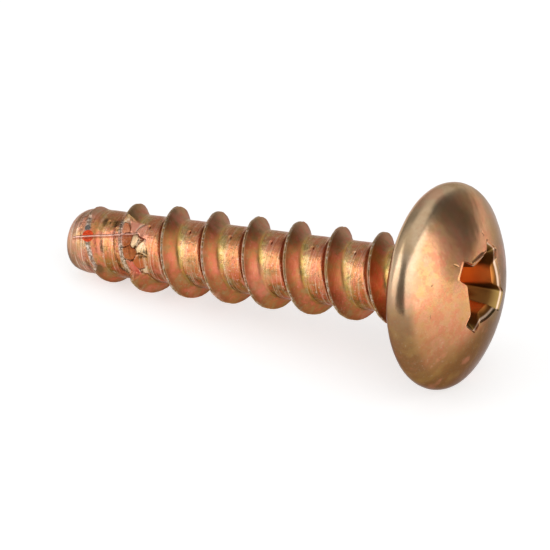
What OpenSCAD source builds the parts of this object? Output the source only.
// A pan-head screw with a cross recess and one coarse right-hand thread, lying on its side.
// It is one cold-formed piece of steel: the head is upset, the cross is punched, the thread is rolled
// and the blunt tip has a flat cut along it. +X runs from the tip to the head, +Z is up, and the
// origin is under the middle of the screw, on the surface that it lies on. All sizes are millimetres.

/* [Head] */
// Widest diameter of the head
head_d = 10.85; // [8.6:0.05:13]
// Height of the head from its bearing face to the top of its dome
head_h = 3.4; // [3:0.05:4.2]
// Radius of the head's round edge
head_edge_r = 0.92; // [0.5:0.02:1.1]
// Radius of the fillet where the head meets the shank
neck_fillet = 0.78; // [0.76:0.01:1]

/* [Cross recess] */
// Length of the cross from wing end to wing end, at the top of the dome
cross_span = 4.95; // [4.4:0.05:5.3]
// Width of a wing, at the top of the dome
wing_w = 1.2; // [0.9:0.02:1.4]
// Width across the four walls between the wings, at the top of the dome
cross_core_w = 2.6; // [2.3:0.05:3]
// Depth of the cross from the top of the dome to its cone
cross_depth = 2.2; // [1.6:0.05:2.4]
// Depth of the cone at the bottom of the cross
cross_cone_h = 0.45; // [0.2:0.05:0.6]
// Lean of each wing's end from the screw's axis
wing_end_lean = 26.5; // [20:0.5:30]
// Lean of the other walls of the cross from the screw's axis
wall_lean = 5.75; // [2:0.25:8]
// Width across the four shallow lead-in faces between the wings, at the top of the dome
lead_in_w = 4; // [3.6:0.05:4.2]
// Lean of the lead-in faces from the screw's axis
lead_in_lean = 60; // [45:1:65]
// Turn of the cross about the screw's axis
cross_turn = -19.5; // [-45:0.5:45]
// How far off the screw's axis the cross was punched
cross_shift = 0.32; // [0:0.01:0.5]
// Angle about the axis to which the cross was shifted
cross_shift_turn = 39; // [0:1:360]

/* [Shank] */
// Length of the shank from the bearing face to the end of the tip
shank_l = 22; // [16:0.5:32]
// Diameter of the core between the threads
core_d = 3.55; // [3.1:0.05:4]
// Diameter of the small flat at the end of the tip
tip_end_d = 1.3; // [0.8:0.05:2]
// Length over which the tip is rounded
tip_round_l = 1.32; // [1.2:0.02:2.2]

/* [Thread] */
// Outside diameter of the thread
thread_d = 4.8; // [4.4:0.05:5.6]
// Distance from one turn of the thread to the next
pitch = 2.53; // [2.2:0.01:3.2]
// Width of the thread's foot on the core
thread_foot_w = 1.27; // [0.9:0.01:1.5]
// Width of the thread's crest
thread_crest_w = 0.12; // [0.06:0.01:0.3]
// Distance from the bearing face to the first crest, on the zero line
first_crest = 0.47; // [0:0.01:2]
// Length over which the thread runs out under the head
run_out_l = 0.5; // [0.3:0.05:1.5]
// Length over which the thread runs out where the tip's rounding starts
run_in_l = 0.6; // [0.3:0.05:1.5]
// Distance from the tip's end at which the thread's rise begins
thread_rise_from = 0.27; // [0:0.01:0.6]
// Distance from the tip's end at which the thread has its full height
thread_rise_to = 4.53; // [3:0.05:6]

/* [Flat at the tip] */
// Height of the cut flat above the core
flat_gap = 0.09; // [0.04:0.01:0.3]
// Length of the cut flat from the tip's end
flat_l = 4.9; // [2:0.1:7]
// Angle about the axis that the flat faces
flat_turn = 98; // [0:1:360]
// Width of the seam that stands along the flat
seam_w = 0.14; // [0.1:0.01:0.3]
// Height of the seam above the core
seam_h = 0.1; // [0.06:0.01:0.2]
// Distance from the tip's end to the start of the seam
seam_start = 1.3; // [1:0.05:2]
// Length of the seam
seam_l = 3.6; // [1:0.1:5]
// Angle about the axis at which the seam lies
seam_turn = 71; // [0:1:360]

/* [How it lies] */
// Angle about the axis that faces up
up_turn = 27; // [0:1:360]

/* [Finish] */
// Colour of the yellow chromate over the zinc
finish_colour = "#B58A72"; // ["#B58A72", "#C9A98B", "#B9BCC0"]

/* [Hidden] */
$fn = 96;
core_r = core_d / 2;
thread_r = thread_d / 2;
tip_end_r = tip_end_d / 2;

// In the head's section the edge is an arc, and the dome is an arc of a larger circle that it touches.
edge_x = head_d / 2 - head_edge_r;
edge_drop = head_h - head_edge_r;
dome_r = (edge_x * edge_x + edge_drop * edge_drop - head_edge_r * head_edge_r)
    / (2 * (head_h - 2 * head_edge_r));
dome_z = head_h - dome_r;

// Depth below the top of the dome at which the lead-in faces meet the walls of the core.
lead_in_depth = (lead_in_w - cross_core_w) / 2 / (tan(lead_in_lean) - tan(wall_lean));
// The lead-in is a four-sided cone, and these are the radii of its corners.
lead_in_r = lead_in_w / 2 * sqrt(2);
lead_in_low_r = lead_in_r - lead_in_depth * tan(lead_in_lean) * sqrt(2);

// In the tip's section the rounding is an arc that runs into the side of the core.
tip_step = core_r - tip_end_r;
tip_arc_r = (tip_step * tip_step + tip_round_l * tip_round_l) / (2 * tip_step);

// The threaded shank is a grid: its columns stand around the axis, and its rows follow the helix.
columns = 36;
// Rows of one turn, from the head down: foot, waist and crest, then crest, waist and foot. Each has
// its offset from the middle of the crest and its share of the thread's height. The flanks are
// hollow: their waists are narrower than straight flanks would be.
waist_share = 0.42;
foot_half = thread_foot_w / 2;
crest_half = thread_crest_w / 2;
waist_half = crest_half + (foot_half - crest_half) * waist_share;
turn_rows = [
    [foot_half, 0],
    [waist_half, waist_share],
    [crest_half, 1],
    [-crest_half, 1],
    [-waist_half, waist_share],
    [-foot_half, 0]
];
// The thread lies between the neck and the tip's rounding. The rows start two turns above it and end
// two turns below it, and what lies outside is drawn in to its two ends.
thread_top = -neck_fillet;
thread_low = tip_round_l - shank_l;
turns_above = 2;
turns_below = 2;
helix_turns = turns_above + ceil((thread_top - thread_low) / pitch) + turns_below;

// Room by which a cutting shape reaches past what it cuts, and a joining one into what it joins.
past = 1;
sunk = 0.3;
// Steps of the head's edge and dome, and of the tip's rounding.
edge_steps = 14;
dome_steps = 18;
tip_steps = 8;
// Places on the fillet of the neck. The first is just under the bearing face, and the fillet there is
// wider than the thread, so that a plate which passes the thread lies flat on the face.
neck_angles = [80, 60, 40, 20];

function from_tip(z) = z + shank_l;
// Share of its full height that the thread has at a place on the axis.
function thread_share(z) = min(1,
    (thread_top - z) / run_out_l,
    (z - thread_low) / run_in_l,
    (from_tip(z) - thread_rise_from) / (thread_rise_to - thread_rise_from));
function radius_at(z, share) = core_r + (thread_r - core_r) * share * max(0, thread_share(z));
function helix_z(row, angle) =
    let (z = -first_crest + pitch * (angle / 360 + turns_above - floor(row / len(turn_rows)))
        + turn_rows[row % len(turn_rows)][0])
    max(thread_low, min(thread_top, z));
function on_screw(z, r, angle) = [r * cos(angle), r * sin(angle), z];
function ring(z, r) = [for (column = [0 : columns - 1]) on_screw(z, r, 360 * column / columns)];

// The thread passes the lowest line of the screw once a turn. The screw lies on the edge of its
// head and on the pass that lets it lie the flattest.
passes = [for (turn = [0 : helix_turns]) -first_crest + pitch * ((up_turn + 180) / 360 - turn)];
function pass_tilt(z) =
    let (
        run = head_edge_r - z,
        drop = edge_x - radius_at(z, 1)
    )
    atan2(drop, run) + asin(head_edge_r / norm([run, drop]));
tilt = min([for (z = passes) if (z < thread_top && z > thread_low) pass_tilt(z)]);

// Lift that brings the head's edge to the floor, and shift that centres the screw's length.
lift = edge_x * cos(tilt) + head_edge_r * (1 - sin(tilt));
head_reach = dome_z * cos(tilt) + dome_r;
tip_reach = shank_l * cos(tilt) + tip_end_r * sin(tilt);
shift = (tip_reach - head_reach) / 2;

// Points of an arc in a section, from one angle to another.
function arc(centre, r, from, to, steps) = [
    for (i = [0 : steps])
        let (a = from + (to - from) * i / steps)
            centre + r * [cos(a), sin(a)]
];

// Half of the head's section, with its flat bearing face at zero: up the round edge to the place
// where the dome touches it, and along the dome to the top.
module head_section() {
    touch = atan2(head_edge_r - dome_z, edge_x);
    edge = arc([edge_x, head_edge_r], head_edge_r, -90, touch, edge_steps);
    dome = arc([0, dome_z], dome_r, touch, 90, dome_steps);
    polygon(concat([[0, 0]], edge, [for (i = [1 : dome_steps]) dome[i]]));
}

// The head with no recess yet.
module head() {
    rotate_extrude()
        head_section();
}

// A bar hanging from zero to its depth, whose ends and sides lean in as it goes down.
module leaning_bar(bar_l, bar_w, depth, end_lean, side_lean) {
    intersection() {
        rotate([90, 0, 0])
            linear_extrude(height = bar_w + 2 * past, center = true)
                leaning_profile(bar_l / 2, depth, end_lean);
        rotate([90, 0, 90])
            linear_extrude(height = bar_l + 2 * past, center = true)
                leaning_profile(bar_w / 2, depth, side_lean);
    }
}

module leaning_profile(half_w, depth, lean) {
    top_x = half_w + past * tan(lean);
    low_x = half_w - depth * tan(lean);
    polygon([[-low_x, -depth], [low_x, -depth], [top_x, past], [-top_x, past]]);
}

// The punched cross: two wing bars, a square core between them with a shallow lead-in, and a blunt
// cone below it.
module cross_recess() {
    cone_r = cross_core_w / 2 - cross_depth * tan(wall_lean) - wing_w / 8;
    shifted_x = cross_shift * cos(cross_shift_turn);
    shifted_y = cross_shift * sin(cross_shift_turn);
    translate([shifted_x, shifted_y, head_h])
        rotate([0, 0, cross_turn]) {
            for (quarter = [0, 90])
                rotate([0, 0, quarter])
                    leaning_bar(cross_span, wing_w, cross_depth, wing_end_lean, wall_lean);
            rotate([0, 0, 45])
                leaning_bar(cross_core_w, cross_core_w, cross_depth, wall_lean, wall_lean);
            translate([0, 0, -lead_in_depth])
                cylinder(h = lead_in_depth, r1 = lead_in_low_r, r2 = lead_in_r, $fn = 4);
            translate([0, 0, -cross_depth - cross_cone_h])
                cylinder(h = cross_cone_h, r1 = cone_r / 4, r2 = cone_r);
        }
}

// The shank as one closed skin: the neck's fillet, the core with its thread, and the rounded tip.
module threaded_shank() {
    neck = [
        ring(sunk, core_r + neck_fillet + sunk),
        for (a = neck_angles) ring(neck_fillet * (sin(a) - 1), core_r + neck_fillet * (1 - cos(a)))
    ];
    last_row = helix_turns * len(turn_rows);
    helix = [
        for (row = [0 : last_row])
            [for (column = [0 : columns - 1])
                let (angle = 360 * column / columns, z = helix_z(row, angle))
                    on_screw(z, radius_at(z, turn_rows[row % len(turn_rows)][1]), angle)]
    ];
    tip = [
        for (i = [1 : tip_steps])
            let (fall = tip_round_l * sin(90 * i / tip_steps))
                ring(thread_low - fall, core_r - tip_arc_r + sqrt(tip_arc_r * tip_arc_r - fall * fall))
    ];
    rows = concat(neck, helix, tip);
    first_helix = len(neck);
    // Past the last column a helix row goes on as the row one turn nearer the head.
    function wrapped(row) = row > first_helix && row <= first_helix + last_row
        ? max(first_helix, row - len(turn_rows))
        : row;
    function index(row, column) = column < columns
        ? row * columns + column
        : wrapped(row) * columns;
    sides = [
        for (row = [0 : len(rows) - 2], column = [0 : columns - 1])
            let (
                a = index(row, column),
                b = index(row, column + 1),
                c = index(row + 1, column + 1),
                d = index(row + 1, column)
            )
                each [[a, b, c], [a, c, d]]
    ];
    top_end = [for (column = [columns - 1 : -1 : 0]) column];
    low_end = [for (column = [0 : columns - 1]) index(len(rows) - 1, column)];
    polyhedron(points = [for (row = rows) each row], faces = concat([top_end], sides, [low_end]));
}

// What the cut at the tip takes away from the thread.
module flat_cut() {
    rotate([0, 0, flat_turn])
        translate([core_r + flat_gap, -thread_d / 2 - past, -shank_l - past])
            cube([thread_r, thread_d + 2 * past, flat_l + past]);
}

// The thin raised seam beside the flat.
module seam() {
    rotate([0, 0, seam_turn])
        translate([core_r - sunk, -seam_w / 2, seam_start - shank_l])
            cube([sunk + seam_h, seam_w, seam_l]);
}

// Turns the upright screw onto its side, as it comes to rest on the floor.
module laid_down() {
    translate([shift, 0, lift])
        rotate([0, 90 - tilt, 0])
            rotate([0, 0, 180 - up_turn])
                children();
}

module screw() {
    color(finish_colour)
        laid_down() {
            difference() {
                head();
                cross_recess();
            }
            difference() {
                threaded_shank();
                flat_cut();
            }
            seam();
        }
}

screw();
